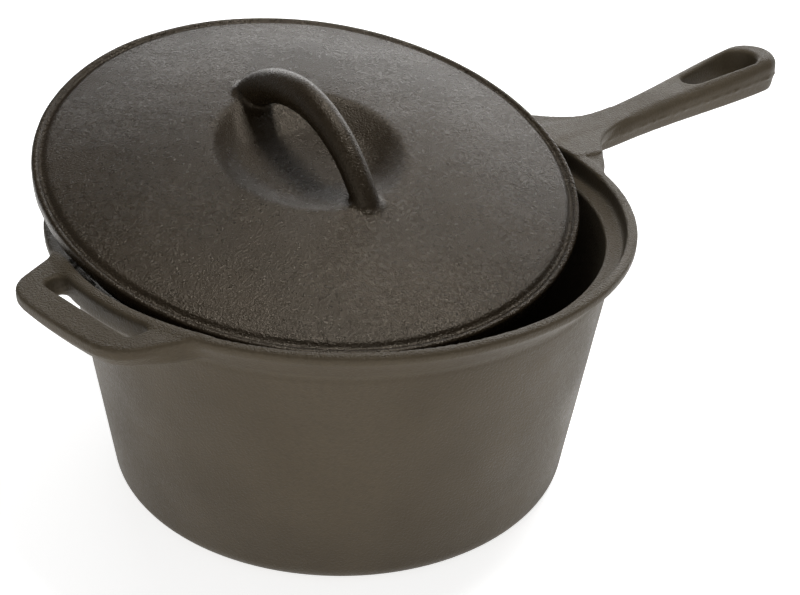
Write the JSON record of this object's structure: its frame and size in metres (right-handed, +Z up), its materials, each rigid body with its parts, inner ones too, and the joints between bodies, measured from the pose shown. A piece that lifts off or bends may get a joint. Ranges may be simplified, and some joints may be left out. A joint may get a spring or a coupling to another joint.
{
  "type": "covered saucepan",
  "caption": "Cast-iron covered pot with a long hanging handle, a slotted helper handle and a loose domed lid lying askew on the rim.",
  "frame": {"origin": "centre of the flat base, on the surface it stands on", "axes": "+Z up, +X from the pot's axis along the long handle, +Y to the left when looking from the pot out along the handle"},
  "size_m": [0.3892, 0.2282, 0.1472],
  "materials": {
    "pot_iron": "seasoned, sand-cast, matt to satin",
    "lid_iron": "seasoned, sand-cast, satin"
  },
  "bodies": {
    "pot": {"pot_body": "pot_iron", "long_handle": "pot_iron", "helper_handle": "pot_iron"},
    "lid": {"lid_cover": "lid_iron", "lid_handle": "lid_iron"}
  },
  "joints": [
    {"name": "lid_lift", "type": "slide", "parent": "pot", "child": "lid", "axis": [0, 0, 1], "range_m": [0, 0.12]}
  ]
}
